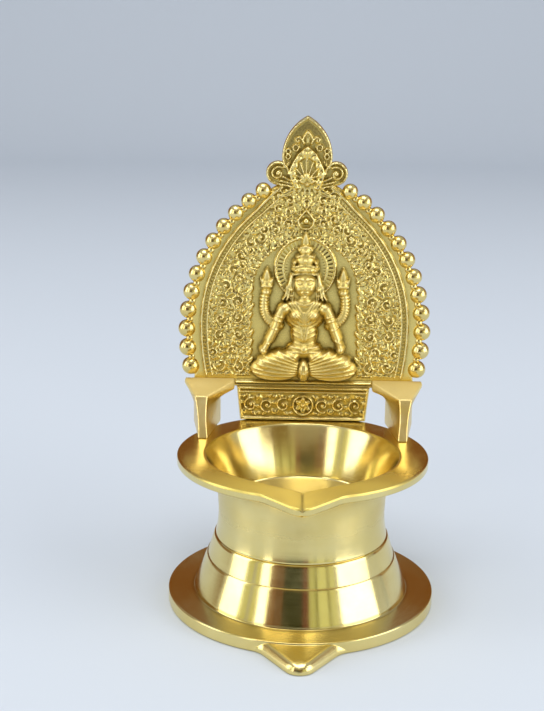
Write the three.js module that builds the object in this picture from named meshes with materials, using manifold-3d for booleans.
// A brass oil lamp for a shrine. A turned bowl with a pointed lip stands on a flared foot,
// and a cast arch plate with a seated figure rises behind it, held by two brackets.
// Sizes are in millimetres and +Z is up. The origin is under the middle of the lamp's
// bounding box, on the table, and the lip points along -Y.

import * as THREE from 'three';
import { mergeVertices } from 'three/addons/utils/BufferGeometryUtils.js';
import Module from 'manifold-3d';

const wasm = await Module();
wasm.setup();

// Foot
const footDiameter = 89.6;
const footFlangeThickness = 4.4;
const footEdgeChamfer = 0.7;
const footTipReach = 57.2;
const footTipRootWidth = 25.6;
const footTipNoseRadius = 5.2;
const footTipThickness = 3.9;
const footTipBevel = 1.8;
const footHollowDiameter = 63;
const flareDiameter = 71.8;
const flareRootFillet = 0.6;
const flareLineDiameter = 63.5;
const flareLineHeight = 16.2;
const flareTopDiameter = 58.6;
const flareHeight = 23.3;
const turnedStep = 0.4;

// Spigot that centres the bowl on the foot
const spigotDiameter = 49.4;
const spigotHeight = 3;
const spigotWall = 2.4;
const fitClearance = 0.3;

// Bowl
const rimDiameter = 83.4;
const rimHeight = 51.2;
const rimThickness = 2.7;
const rimEdgeChamfer = 0.4;
const mouthDiameter = 64.4;
const waistWall = 2.8;
const waistHeight = 32;
const skirtPullHeight = 27.2;
const waistFlare = 0.8;
const coveHeight = 10.3;
const coveInset = 8.3;
const coveSwell = 0.9;
const bowlFloorHeight = 33.3;
const bowlFloorDiameter = 50;
const bowlFloorThickness = 2.6;
const bowlFloorFillet = 1;
const bowlWallSag = 1.2;
const spoutReach = 50.9;
const spoutRootWidth = 25.4;
const spoutNoseRadius = 5;
const prowHeight = 9.5;
const prowReach = 41;
const prowWidth = 17;
const prowNoseRadius = 3;
const prowFootWidth = 8;
const prowFootDepth = 1.3;
const pointHold = 6;
const pointHoldTaper = 2.5;
const notchReach = 37.8;
const notchDepth = 11;
const notchFootScale = 0.8;

// Back plate
const plateInset = 6.2;
const plateThickness = 2.8;
const ledgeRise = 16.2;
const archRadius = 59.8;
const archCentreOffset = 19.2;
const archCentreRise = 16.1;
const panelTopWidth = 48.4;
const panelFootWidth = 45.2;
const corniceRise = 11.6;
const corniceHeight = 3.4;
const corniceRelief = 1.2;
const panelFrameWidth = 1.7;
const panelFrameRelief = 1.1;
const rosetteDiameter = 7.4;
const rosetteRelief = 1.6;
const earWidth = 78;

// Beads along the plate's edge, from the ledge upward
const beadCount = 12;
const firstBeadDiameter = 6.4;
const lastBeadDiameter = 5.5;
const beadGap = 0.58;
const beadOverhang = 0.95;
const beadForward = 0.7;
const linkDiameter = 2.6;

// Border rib, foliage band and niche
const borderRadius = 53.6;
const borderCentreOffset = 16.9;
const borderCentreRise = 18.4;
const borderWidth = 2.5;
const borderRelief = 0.9;
const foliageRelief = 1.1;
const nicheWidth = 38.6;
const nicheRise = 31.3;

// Leaf finial, side lobes and palmette
const leafWidth = 17.4;
const leafRise = 77.6;
const leafHeight = 14.3;
const leafFoot = 9;
const leafFootWidth = 14;
const leafRibWidth = 0.9;
const leafTipRib = 1.6;
const leafRibRelief = 0.8;
const lobeDiameter = 8.2;
const lobeSpread = 20;
const lobeRise = 72.4;
const lobeRibWidth = 1.1;
const palmetteWidth = 11.6;
const palmetteHeight = 13.4;
const palmetteRise = 74.3;
const palmetteRelief = 2.2;

// Seated figure and its halo, in front of the niche
const haloDiameter = 21.8;
const haloRise = 39.6;
const haloRimWidth = 1.1;
const haloRelief = 1.1;
const headWidth = 8.2;
const headHeight = 9.8;
const headRise = 34.5;
const headRelief = 4.9;
const crownWidth = 9.2;
const crownHeight = 14;
const crownRise = 37.9;
const crownRelief = 3.7;
const neckWidth = 4.4;
const neckRelief = 2.8;
const chinRise = 31.8;
const chestWidth = 14;
const chestHeight = 12.6;
const chestRise = 23.2;
const chestRelief = 4.4;
const waistWidth = 10;
const shoulderSpread = 15.6;
const shoulderRise = 25.2;
const armDiameter = 3.9;
const armRelief = 3.8;
const elbowSpread = 21.4;
const elbowRise = 17.8;
const handSpread = 26.8;
const handRise = 11.4;
const rearElbowSpread = 25.6;
const rearElbowRise = 19.6;
const rearHandSpread = 27;
const rearHandRise = 30.4;
const rearArmDiameter = 3.4;
const rearArmRelief = 2.5;
const budWidth = 4.6;
const budHeight = 7.6;
const budRelief = 2.6;
const kneeSpread = 18.6;
const thighWidth = 18;
const thighHeight = 10.4;
const thighRise = 4.9;
const thighRelief = 5.2;
const thighTilt = 0.12;
const lapHeight = 8.5;

// Brackets
const bracketReach = 23.1;
const bracketFootInset = 5.3;
const bracketFrontWidth = 3.3;
const bracketFrontTopWidth = 4.3;
const bracketFrontWaisting = 0.95;
const bracketTopSplay = 1.2;
const bracketFrontHeight = 13.2;
const bracketLean = 7.1;
const bracketRearWidth = 9.4;
const bracketLegHeight = 9.2;
const bracketTopDrop = 0.7;
const bracketWingDrop = 4;
const bracketOuterDrop = 1.2;
const bracketOuterReach = 3.2;
const ledgeDepth = 3;

// Rivets: two rise through the rim into the brackets, four run through the plate into them
const rivetDiameter = 1.7;
const rivetHeadDiameter = 3.2;
const rivetHeadHeight = 1.1;
const rivetHoldDepth = 3.4;
const rimRivetSetback = 6;
const plateRivetRise = 2.3;
const plateRivetPitch = 8.6;
const plateRivetShift = 0.5;

// Facets
const turnedSegments = 56;
const curveSteps = 5;
const archSteps = 12;
const ballSegments = 10;
const ballRings = 6;
const linkSegments = 6;
const linkRings = 4;
const rivetSegments = 12;

// How far a cutter runs past the face it cuts, and how deep a raised form is rooted
const overrun = 1;
const rootDepth = 0.9;

// Places that several pieces share
const footRadius = footDiameter / 2;
const rimRadius = rimDiameter / 2;
const mouthRadius = mouthDiameter / 2;
const rimUnderside = rimHeight - rimThickness;
const waistRadius = bowlFloorDiameter / 2 + waistWall;
const coveRadius = rimRadius - coveInset;
const plateFront = rimRadius - plateInset;
const plateBack = plateFront + plateThickness;
const ledgeHeight = rimHeight + ledgeRise;
const bracketFrontPlane = plateFront - bracketReach;
const bracketCentre = Math.sqrt((rimRadius - bracketFootInset) ** 2 - bracketFrontPlane ** 2);
const wingEnd = panelTopWidth / 2 + fitClearance;
const wingUnderside = ledgeHeight - bracketWingDrop;
const plateRivetHeight = ledgeHeight - plateRivetRise;
const plateRivetCentre = bracketCentre - plateRivetShift;
const originShift = (footTipReach - footRadius) / 2;

// Closed solids from three.js geometry, with their faces turned outward
function solid(geometry) {
  const bare = geometry.clone();
  bare.deleteAttribute('normal');
  bare.deleteAttribute('uv');
  const merged = mergeVertices(bare, 1e-4);
  const vertProperties = Float32Array.from(merged.attributes.position.array);
  const triVerts = Uint32Array.from(merged.index.array);
  const body = new wasm.Manifold(new wasm.Mesh({ numProp: 3, vertProperties, triVerts }));
  if (body.volume() > 0) {
    return body;
  }
  triVerts.reverse();
  return new wasm.Manifold(new wasm.Mesh({ numProp: 3, vertProperties, triVerts }));
}

function joined(solids) {
  return solids.reduce((whole, next) => whole.add(next));
}

// A solid of revolution about +Z, from a closed path of radius and height
function turned(path, segments = turnedSegments) {
  const geometry = new THREE.LatheGeometry(path.getPoints(curveSteps), segments);
  geometry.rotateX(Math.PI / 2);
  return solid(geometry);
}

// A slab standing in the plate's plane: a shape in X and Z, between two depths along Y
function upright(shape, front, back, steps = archSteps) {
  const options = { depth: back - front, bevelEnabled: false, curveSegments: steps };
  const geometry = new THREE.ExtrudeGeometry(shape, options);
  geometry.rotateX(Math.PI / 2);
  geometry.translate(0, back, 0);
  return solid(geometry);
}

// A raised form on the plate's front face, rooted a little way into it
function raised(shape, relief, steps = archSteps) {
  return upright(shape, plateFront - relief, plateFront + rootDepth, steps);
}

// A body stretched between rings that have the same number of points, in order, with flat ends
function loft(rings) {
  const count = rings[0].length;
  const points = rings.flat();
  const normal = new THREE.Vector3();
  rings[0].forEach((point, i) => {
    normal.add(new THREE.Vector3().crossVectors(point, rings[0][(i + 1) % count]));
  });
  const dropped = ['x', 'y', 'z'].reduce((a, b) => (Math.abs(normal[a]) > Math.abs(normal[b]) ? a : b));
  const kept = { x: ['y', 'z'], y: ['z', 'x'], z: ['x', 'y'] }[dropped];
  const indices = [];
  const cap = (ring, offset, reversed) => {
    const flat = ring.map((point) => new THREE.Vector2(point[kept[0]], point[kept[1]]));
    const ringTurn = THREE.ShapeUtils.area(flat);
    for (const [a, b, c] of THREE.ShapeUtils.triangulateShape(flat, [])) {
      const sameTurn = THREE.ShapeUtils.area([flat[a], flat[b], flat[c]]) * ringTurn > 0;
      const swap = sameTurn === reversed;
      indices.push(offset + a, offset + (swap ? c : b), offset + (swap ? b : c));
    }
  };
  cap(rings[0], 0, true);
  cap(rings[rings.length - 1], (rings.length - 1) * count, false);
  for (let ring = 0; ring < rings.length - 1; ring += 1) {
    for (let i = 0; i < count; i += 1) {
      const a = ring * count + i;
      const b = ring * count + ((i + 1) % count);
      indices.push(a, b, b + count, a, b + count, a + count);
    }
  }
  const geometry = new THREE.BufferGeometry().setFromPoints(points);
  geometry.setIndex(indices);
  return solid(geometry);
}

// An egg-shaped body with its three widths, centred on the plate's front face
function egg(x, z, width, relief, height, tilt = 0) {
  const geometry = new THREE.SphereGeometry(1, ballSegments, ballRings);
  geometry.rotateX(Math.PI / 2);
  geometry.scale(width / 2, relief, height / 2);
  geometry.rotateY(tilt);
  geometry.translate(x, plateFront, z);
  return solid(geometry);
}

// A limb between two points on the plate's front face
function limb(x0, z0, x1, z1, diameter, relief) {
  const length = Math.hypot(x1 - x0, z1 - z0) + diameter;
  const tilt = Math.atan2(x1 - x0, z1 - z0);
  return egg((x0 + x1) / 2, (z0 + z1) / 2, diameter, relief, length, tilt);
}

function ball(x, y, z, diameter, segments = ballSegments, rings = ballRings) {
  const geometry = new THREE.SphereGeometry(diameter / 2, segments, rings);
  geometry.rotateX(Math.PI / 2);
  geometry.translate(x, y, z);
  return solid(geometry);
}

function bothSides(make) {
  return joined([make(-1), make(1)]);
}

// The plan of a rounded point: straight sides from a root on a flange to a round nose
function pointPlan(reach, rootWidth, noseRadius, flangeRadius) {
  const half = rootWidth / 2;
  const root = -Math.sqrt(flangeRadius ** 2 - half ** 2);
  const noseCentre = noseRadius - reach;
  const away = Math.hypot(half, root - noseCentre);
  const bearing = Math.atan2(root - noseCentre, half);
  const touch = bearing - Math.acos(noseRadius / away);
  const shape = new THREE.Shape();
  shape.moveTo(-half, root);
  shape.absarc(0, noseCentre, noseRadius, Math.PI - touch, 2 * Math.PI + touch, false);
  shape.lineTo(half, root);
  shape.lineTo(half - pointHoldTaper, root + pointHold);
  shape.lineTo(pointHoldTaper - half, root + pointHold);
  return shape.getPoints(curveSteps);
}

function ringAt(plan, height) {
  return plan.map((point) => new THREE.Vector3(point.x, point.y, height));
}

// A pointed arch of two arcs, each centred beyond the middle line
function archShape(radius, centreOffset, centreHeight, bottom) {
  const low = Math.asin((bottom - centreHeight) / radius);
  const high = Math.acos(centreOffset / radius);
  const shape = new THREE.Shape();
  shape.absarc(-centreOffset, centreHeight, radius, low, high, false);
  shape.absarc(centreOffset, centreHeight, radius, Math.PI - high, Math.PI - low, false);
  shape.closePath();
  return shape;
}

function nicheShape(bottom) {
  const shape = new THREE.Shape();
  shape.moveTo(nicheWidth / 2, bottom);
  shape.absarc(0, ledgeHeight + nicheRise, nicheWidth / 2, 0, Math.PI, false);
  shape.lineTo(-nicheWidth / 2, bottom);
  shape.closePath();
  return shape;
}

function discShape(x, z, diameter) {
  const shape = new THREE.Shape();
  shape.absarc(x, z, diameter / 2, 0, 2 * Math.PI, false);
  return shape;
}

function ringShape(x, z, diameter, width) {
  const shape = discShape(x, z, diameter);
  shape.holes.push(discShape(x, z, diameter - 2 * width));
  return shape;
}

function bandShape(topWidth, footWidth, bottom, top) {
  const shape = new THREE.Shape();
  shape.moveTo(-footWidth / 2, bottom);
  shape.lineTo(footWidth / 2, bottom);
  shape.lineTo(topWidth / 2, top);
  shape.lineTo(-topWidth / 2, top);
  shape.closePath();
  return shape;
}

// Leaf outline: two arcs from the widest line to the tip, over a straight-sided foot
function leafShape(inset) {
  const half = leafWidth / 2 - inset;
  const height = leafHeight - (inset > 0 ? leafTipRib : 0);
  const middle = ledgeHeight + leafRise;
  const centreOffset = (height ** 2 - half ** 2) / (2 * half);
  const radius = half + centreOffset;
  const high = Math.acos(centreOffset / radius);
  const shape = new THREE.Shape();
  shape.moveTo(leafFootWidth / 2 - inset, middle - leafFoot + inset);
  shape.absarc(-centreOffset, middle, radius, 0, high, false);
  shape.absarc(centreOffset, middle, radius, Math.PI - high, Math.PI, false);
  shape.lineTo(inset - leafFootWidth / 2, middle - leafFoot + inset);
  shape.closePath();
  return shape;
}

// Foot: a flange with a rounded point in front, and a hollow flare in two turned bands
function footSolid() {
  const flareRadius = flareDiameter / 2;
  const lineRadius = flareLineDiameter / 2;
  const topRadius = flareTopDiameter / 2;
  const spigotRadius = spigotDiameter / 2;
  const boreRadius = spigotRadius - spigotWall;
  const hollowRadius = footHollowDiameter / 2;
  const path = new THREE.Path();
  path.moveTo(hollowRadius, 0);
  path.lineTo(footRadius - footEdgeChamfer, 0);
  path.lineTo(footRadius, footEdgeChamfer);
  path.lineTo(footRadius, footFlangeThickness);
  path.lineTo(flareRadius + flareRootFillet, footFlangeThickness);
  path.quadraticCurveTo(flareRadius, footFlangeThickness, flareRadius, footFlangeThickness + flareRootFillet);
  path.lineTo(lineRadius, flareLineHeight);
  path.lineTo(lineRadius - turnedStep, flareLineHeight);
  path.lineTo(topRadius, flareHeight);
  path.lineTo(spigotRadius, flareHeight);
  path.lineTo(spigotRadius, flareHeight + spigotHeight);
  path.lineTo(boreRadius, flareHeight + spigotHeight);
  path.lineTo(boreRadius, flareHeight - overrun);
  path.quadraticCurveTo(hollowRadius, flareLineHeight, hollowRadius, 0);
  return turned(path).add(footPoint());
}

// The foot's point, with bevelled sides
function footPoint() {
  const ground = pointPlan(footTipReach, footTipRootWidth, footTipNoseRadius, footRadius);
  const topWidth = footTipRootWidth - 2 * footTipBevel;
  const top = pointPlan(footTipReach - footTipBevel, topWidth, footTipNoseRadius * 0.8, footRadius);
  return loft([ringAt(ground, 0), ringAt(top, footTipThickness)]);
}

// Outside of the bowl: skirt, waist, cove and rim flange, closed on the lamp's axis
function bowlOutside() {
  const coveFoot = rimUnderside - coveHeight;
  const path = new THREE.Path();
  path.moveTo(0, flareHeight);
  path.lineTo(flareTopDiameter / 2 - turnedStep, flareHeight);
  path.quadraticCurveTo(waistRadius, skirtPullHeight, waistRadius, waistHeight);
  path.lineTo(waistRadius + waistFlare / 2, coveFoot);
  path.quadraticCurveTo(waistRadius + coveSwell, coveFoot + coveHeight / 2, coveRadius, rimUnderside);
  path.lineTo(rimRadius - rimEdgeChamfer, rimUnderside);
  path.lineTo(rimRadius, rimUnderside + rimEdgeChamfer);
  path.lineTo(rimRadius, rimHeight);
  path.lineTo(0, rimHeight);
  return turned(path);
}

function bowlInside() {
  const floorRadius = bowlFloorDiameter / 2;
  const middle = (bowlFloorHeight + rimHeight) / 2;
  const path = new THREE.Path();
  path.moveTo(0, bowlFloorHeight);
  path.lineTo(floorRadius - bowlFloorFillet, bowlFloorHeight);
  path.lineTo(floorRadius, bowlFloorHeight + bowlFloorFillet);
  path.quadraticCurveTo((floorRadius + mouthRadius) / 2 - bowlWallSag, middle, mouthRadius, rimHeight);
  path.lineTo(mouthRadius, rimHeight + overrun);
  path.lineTo(0, rimHeight + overrun);
  return turned(path);
}

// Room under the bowl's floor for the foot's spigot
function skirtBore() {
  const radius = spigotDiameter / 2 + fitClearance;
  const top = bowlFloorHeight - bowlFloorThickness;
  const path = new THREE.Path();
  path.moveTo(0, flareHeight - overrun);
  path.lineTo(radius, flareHeight - overrun);
  path.lineTo(radius, flareHeight + spigotHeight + fitClearance);
  path.lineTo(radius - spigotWall, top);
  path.lineTo(0, top);
  return turned(path);
}

// The spout: the rim flange drawn out to a rounded point, over a small keel
function spout() {
  const plan = pointPlan(spoutReach, spoutRootWidth, spoutNoseRadius, rimRadius);
  return loft([ringAt(plan, rimUnderside), ringAt(plan, rimHeight)]).add(prow());
}

// The keel under the spout, which narrows downward into the waist like a boat's prow
function prow() {
  const plan = pointPlan(prowReach, prowWidth, prowNoseRadius, coveRadius);
  const narrowing = prowFootWidth / prowWidth;
  const shortening = prowFootDepth / (prowReach - coveRadius);
  const drawnIn = (p) => new THREE.Vector2(p.x * narrowing, (p.y + prowReach) * shortening - waistRadius);
  return loft([ringAt(plan.map(drawnIn), rimUnderside - prowHeight), ringAt(plan, rimUnderside + rimEdgeChamfer)]);
}

// A notch that leads from the mouth to the spout, its sides tangent to the mouth
function notch() {
  const turn = Math.acos(mouthRadius / notchReach);
  const side = mouthRadius * Math.sin(turn);
  const depth = mouthRadius * Math.cos(turn);
  const outline = (scale, apex, z) => [
    new THREE.Vector3(0, -apex, z),
    new THREE.Vector3(side * scale, -depth * scale, z),
    new THREE.Vector3(0, -depth * scale ** 2, z),
    new THREE.Vector3(-side * scale, -depth * scale, z),
  ];
  const slope = (notchReach - bowlFloorDiameter / 2) / notchDepth;
  const low = outline(notchFootScale, bowlFloorDiameter / 2, rimHeight - notchDepth);
  const high = outline(1, notchReach + slope * overrun, rimHeight + overrun);
  return loft([low, high]);
}

function bowlSolid(rimHoles) {
  return bowlOutside().add(spout()).subtract(joined([bowlInside(), skirtBore(), notch(), ...rimHoles]));
}

// Beads stand on the plate's curved edge and small links fill the gaps between them
function beads() {
  const centreHeight = ledgeHeight + archCentreRise;
  const radius = archRadius + beadOverhang;
  const depth = plateFront + beadForward;
  const solids = [];
  let angle = Math.asin((ledgeHeight + firstBeadDiameter / 2 + fitClearance - centreHeight) / radius);
  let previous = firstBeadDiameter;
  for (let i = 0; i < beadCount; i += 1) {
    const diameter = THREE.MathUtils.lerp(firstBeadDiameter, lastBeadDiameter, i / (beadCount - 1));
    const pitch = (previous + diameter) / 2 + beadGap;
    if (i > 0) {
      const middle = angle + pitch / radius / 2;
      const linkX = -archCentreOffset + archRadius * Math.cos(middle);
      const linkZ = centreHeight + archRadius * Math.sin(middle);
      const link = (side) => ball(side * linkX, depth, linkZ, linkDiameter, linkSegments, linkRings);
      solids.push(bothSides(link));
      angle += pitch / radius;
    }
    const x = -archCentreOffset + radius * Math.cos(angle);
    const z = centreHeight + radius * Math.sin(angle);
    solids.push(bothSides((side) => ball(side * x, depth, z, diameter)));
    previous = diameter;
  }
  return joined(solids);
}

// The flat casting: arch, leaf, lobes, panel and the ears that the brackets are riveted to
function plateSlab() {
  const slab = (shape) => upright(shape, plateFront, plateBack);
  const centreHeight = ledgeHeight + archCentreRise;
  const arch = archShape(archRadius, archCentreOffset, centreHeight, ledgeHeight);
  const panel = bandShape(panelTopWidth, panelFootWidth, rimHeight, ledgeHeight + overrun);
  const ears = bandShape(earWidth, earWidth, wingUnderside + fitClearance, ledgeHeight + overrun);
  const lobe = (side) => slab(discShape((side * lobeSpread) / 2, ledgeHeight + lobeRise, lobeDiameter));
  return joined([slab(arch), slab(panel), slab(ears), slab(leafShape(0)), bothSides(lobe)]);
}

// Border rib and foliage band, drawn as plain raised bands
function archTrim() {
  const bottom = ledgeHeight + fitClearance;
  const centreHeight = ledgeHeight + borderCentreRise;
  const inner = borderRadius - borderWidth;
  const border = archShape(borderRadius, borderCentreOffset, centreHeight, bottom);
  border.holes.push(archShape(inner, borderCentreOffset, centreHeight, bottom + borderWidth / 2));
  const foliage = archShape(inner, borderCentreOffset, centreHeight, bottom);
  foliage.holes.push(nicheShape(bottom + borderWidth / 2));
  return joined([raised(border, borderRelief), raised(foliage, foliageRelief)]);
}

function leafTrim() {
  const rib = leafShape(0);
  rib.holes.push(leafShape(leafRibWidth));
  const lobeHeight = ledgeHeight + lobeRise;
  const lobe = (side) => ringShape((side * lobeSpread) / 2, lobeHeight, lobeDiameter, lobeRibWidth);
  const palmette = egg(0, ledgeHeight + palmetteRise, palmetteWidth, palmetteRelief, palmetteHeight);
  const lobes = bothSides((side) => raised(lobe(side), leafRibRelief));
  return joined([raised(rib, leafRibRelief), lobes, palmette]);
}

// Cornice over the panel, the panel's frame and the round flower in its middle
function panelTrim() {
  const corniceFoot = rimHeight + corniceRise;
  const cornice = bandShape(panelTopWidth, panelTopWidth, corniceFoot, corniceFoot + corniceHeight);
  const frame = bandShape(panelTopWidth, panelFootWidth, rimHeight + fitClearance, corniceFoot);
  const innerTop = panelTopWidth - 2 * panelFrameWidth;
  const innerFoot = panelFootWidth - 2 * panelFrameWidth;
  const low = rimHeight + fitClearance + panelFrameWidth;
  frame.holes.push(bandShape(innerTop, innerFoot, low, corniceFoot - panelFrameWidth / 2));
  const flower = discShape(0, rimHeight + corniceRise / 2 + panelFrameWidth / 2, rosetteDiameter);
  return joined([
    raised(cornice, corniceRelief),
    raised(frame, panelFrameRelief),
    raised(flower, rosetteRelief, curveSteps),
  ]);
}

// Seated figure with four arms, in high relief, with a halo behind its head
function figure() {
  const at = (rise) => ledgeHeight + rise;
  const halo = raised(ringShape(0, at(haloRise), haloDiameter, haloRimWidth), haloRelief);
  const head = egg(0, at(headRise), headWidth, headRelief, headHeight);
  const crown = egg(0, at(crownRise + crownHeight / 2), crownWidth, crownRelief, crownHeight);
  const chest = egg(0, at(chestRise), chestWidth, chestRelief, chestHeight);
  const neck = limb(0, at(chestRise), 0, at(chinRise), neckWidth, neckRelief);
  const waist = limb(0, at(thighRise), 0, at(chestRise), waistWidth, chestRelief);
  const lap = egg(0, at(thighRise), thighWidth, thighRelief, lapHeight);
  const arms = (side) => {
    const shoulder = [(side * shoulderSpread) / 2, at(shoulderRise)];
    const elbow = [(side * elbowSpread) / 2, at(elbowRise)];
    const hand = [(side * handSpread) / 2, at(handRise)];
    const rearElbow = [(side * rearElbowSpread) / 2, at(rearElbowRise)];
    const rearHand = [(side * rearHandSpread) / 2, at(rearHandRise)];
    return joined([
      limb(0, shoulder[1], ...shoulder, armDiameter, armRelief),
      limb(...shoulder, ...elbow, armDiameter, armRelief),
      limb(...elbow, ...hand, armDiameter, armRelief),
      limb(...shoulder, ...rearElbow, rearArmDiameter, rearArmRelief),
      limb(...rearElbow, ...rearHand, rearArmDiameter, rearArmRelief),
      egg(rearHand[0], rearHand[1] + budHeight / 2, budWidth, budRelief, budHeight),
    ]);
  };
  const thigh = (side) =>
    egg((side * kneeSpread) / 2, at(thighRise), thighWidth, thighRelief, thighHeight, side * thighTilt);
  const body = joined([head, crown, neck, chest, waist, lap, bothSides(arms), bothSides(thigh)]);
  const reach = Math.max(headRelief, thighRelief, chestRelief) + overrun;
  const room = bandShape(rimDiameter, rimDiameter, ledgeHeight - corniceRelief, ledgeHeight + leafRise);
  return halo.add(body.intersect(upright(room, plateFront - reach, plateFront + rootDepth)));
}

// A rivet along +Z: its head hangs below the seat and its shank rises through it
function rivetSolid(length) {
  const path = new THREE.Path();
  path.moveTo(0, -rivetHeadHeight);
  path.quadraticCurveTo(rivetHeadDiameter / 2, -rivetHeadHeight, rivetHeadDiameter / 2, 0);
  path.lineTo(rivetDiameter / 2, 0);
  path.lineTo(rivetDiameter / 2, length);
  path.lineTo(0, length);
  return turned(path, rivetSegments);
}

function rivetHole(length) {
  const radius = rivetDiameter / 2 + fitClearance;
  const depth = length + fitClearance;
  const geometry = new THREE.CylinderGeometry(radius, radius, depth + overrun, rivetSegments);
  geometry.rotateX(Math.PI / 2);
  geometry.translate(0, 0, (depth - overrun) / 2);
  return solid(geometry);
}

// Places of the rivets: under the rim pointing up, and behind the plate pointing forward
const rimRivetLength = rimThickness + rivetHoldDepth;
const plateRivetLength = plateThickness + rivetHoldDepth;

function atRimRivet(body, side) {
  return body.translate([side * bracketCentre, bracketFrontPlane + rimRivetSetback, rimUnderside]);
}

function atPlateRivet(body, side, offset) {
  const x = side * (plateRivetCentre + (offset * plateRivetPitch) / 2);
  return body.rotate([90, 0, 0]).translate([x, plateBack, plateRivetHeight]);
}

// Bracket: a buttress that leans back from the rim and widens into a ledge against the plate
function bracketSolid(side) {
  const rearHalf = bracketRearWidth / 2;
  const shelf = ledgeHeight - bracketTopDrop;
  const legTop = rimHeight + bracketLegHeight;
  const inner = new THREE.Path();
  inner.moveTo(bracketCentre - rearHalf, rimHeight);
  inner.lineTo(bracketCentre - rearHalf, legTop);
  inner.quadraticCurveTo(bracketCentre - rearHalf, wingUnderside, wingEnd, wingUnderside);
  inner.lineTo(wingEnd, shelf);
  const outerEnd = bracketCentre + rearHalf + bracketOuterReach;
  const outer = new THREE.Path();
  outer.moveTo(bracketCentre + rearHalf, rimHeight);
  outer.lineTo(bracketCentre + rearHalf, legTop);
  outer.quadraticCurveTo(bracketCentre + rearHalf, wingUnderside, outerEnd, shelf - bracketOuterDrop);
  outer.lineTo(outerEnd, shelf);
  const innerPoints = inner.getPoints(curveSteps);
  const outerPoints = outer.getPoints(curveSteps);
  const last = innerPoints.length - 1;
  const frontTop = rimHeight + bracketFrontHeight;
  const frontPoint = (i, halfFoot, halfTop) => {
    const part = i / last;
    const drawnIn = Math.sign(halfFoot) * bracketFrontWaisting * 2 * part * (1 - part);
    const half = THREE.MathUtils.lerp(halfFoot, halfTop, part) - drawnIn;
    const x = bracketCentre + half + bracketTopSplay * part;
    const y = bracketFrontPlane + bracketLean * part;
    return new THREE.Vector3(side * x, y, THREE.MathUtils.lerp(rimHeight, frontTop, part));
  };
  const foot = bracketFrontWidth / 2;
  const top = bracketFrontTopWidth / 2;
  const front = [
    ...innerPoints.map((p, i) => frontPoint(i, -foot, -top)),
    ...outerPoints.map((p, i) => frontPoint(i, foot, top)).reverse(),
  ];
  const section = (depth) =>
    [...innerPoints, ...outerPoints.reverse()].map((p) => new THREE.Vector3(side * p.x, depth, p.y));
  const ledge = section(plateFront - ledgeDepth);
  outerPoints.reverse();
  const rear = section(plateFront);
  const holes = [
    atRimRivet(rivetHole(rimRivetLength), side),
    atPlateRivet(rivetHole(plateRivetLength), side, -1),
    atPlateRivet(rivetHole(plateRivetLength), side, 1),
  ];
  return loft([front, ledge, rear]).subtract(joined(holes));
}

function plateSolid(plateHoles) {
  const body = joined([plateSlab(), beads(), archTrim(), leafTrim(), panelTrim(), figure()]);
  return body.subtract(joined(plateHoles));
}

// Brass finishes
const turnedBrass = new THREE.MeshStandardMaterial({ color: 0xd9b45a, roughness: 0.22, metalness: 1 });
const castBrass = new THREE.MeshStandardMaterial({ color: 0xd4ac3f, roughness: 0.28, metalness: 1 });
const rivetBrass = new THREE.MeshStandardMaterial({ color: 0xc9a24a, roughness: 0.35, metalness: 1 });

// A named mesh from a finished solid
function piece(name, body, material) {
  const { numProp, vertProperties, triVerts } = body.getMesh();
  const points = [];
  for (let i = 0; i < vertProperties.length; i += numProp) {
    points.push(new THREE.Vector3().fromArray(vertProperties, i));
  }
  const geometry = new THREE.BufferGeometry().setFromPoints(points);
  geometry.setIndex([...triVerts]);
  geometry.computeVertexNormals();
  const mesh = new THREE.Mesh(geometry, material);
  mesh.name = name;
  return mesh;
}

const sides = { left: -1, right: 1 };
const rivetRows = { inner: -1, outer: 1 };
const rimHoles = Object.values(sides).map((side) => atRimRivet(rivetHole(rimRivetLength), side));
const plateHoles = Object.values(sides).flatMap((side) =>
  Object.values(rivetRows).map((row) => atPlateRivet(rivetHole(plateRivetLength), side, row)));

const lamp = new THREE.Group();
lamp.position.y = originShift;
lamp.add(piece('foot', footSolid(), turnedBrass));
lamp.add(piece('oil_bowl', bowlSolid(rimHoles), turnedBrass));
lamp.add(piece('back_plate', plateSolid(plateHoles), castBrass));
for (const [sideName, side] of Object.entries(sides)) {
  lamp.add(piece(`bracket_${sideName}`, bracketSolid(side), castBrass));
  lamp.add(piece(`rim_rivet_${sideName}`, atRimRivet(rivetSolid(rimRivetLength), side), rivetBrass));
  for (const [rowName, row] of Object.entries(rivetRows)) {
    const rivet = atPlateRivet(rivetSolid(plateRivetLength), side, row);
    lamp.add(piece(`plate_rivet_${sideName}_${rowName}`, rivet, rivetBrass));
  }
}

const model = new THREE.Group();
model.add(lamp);

export default model;
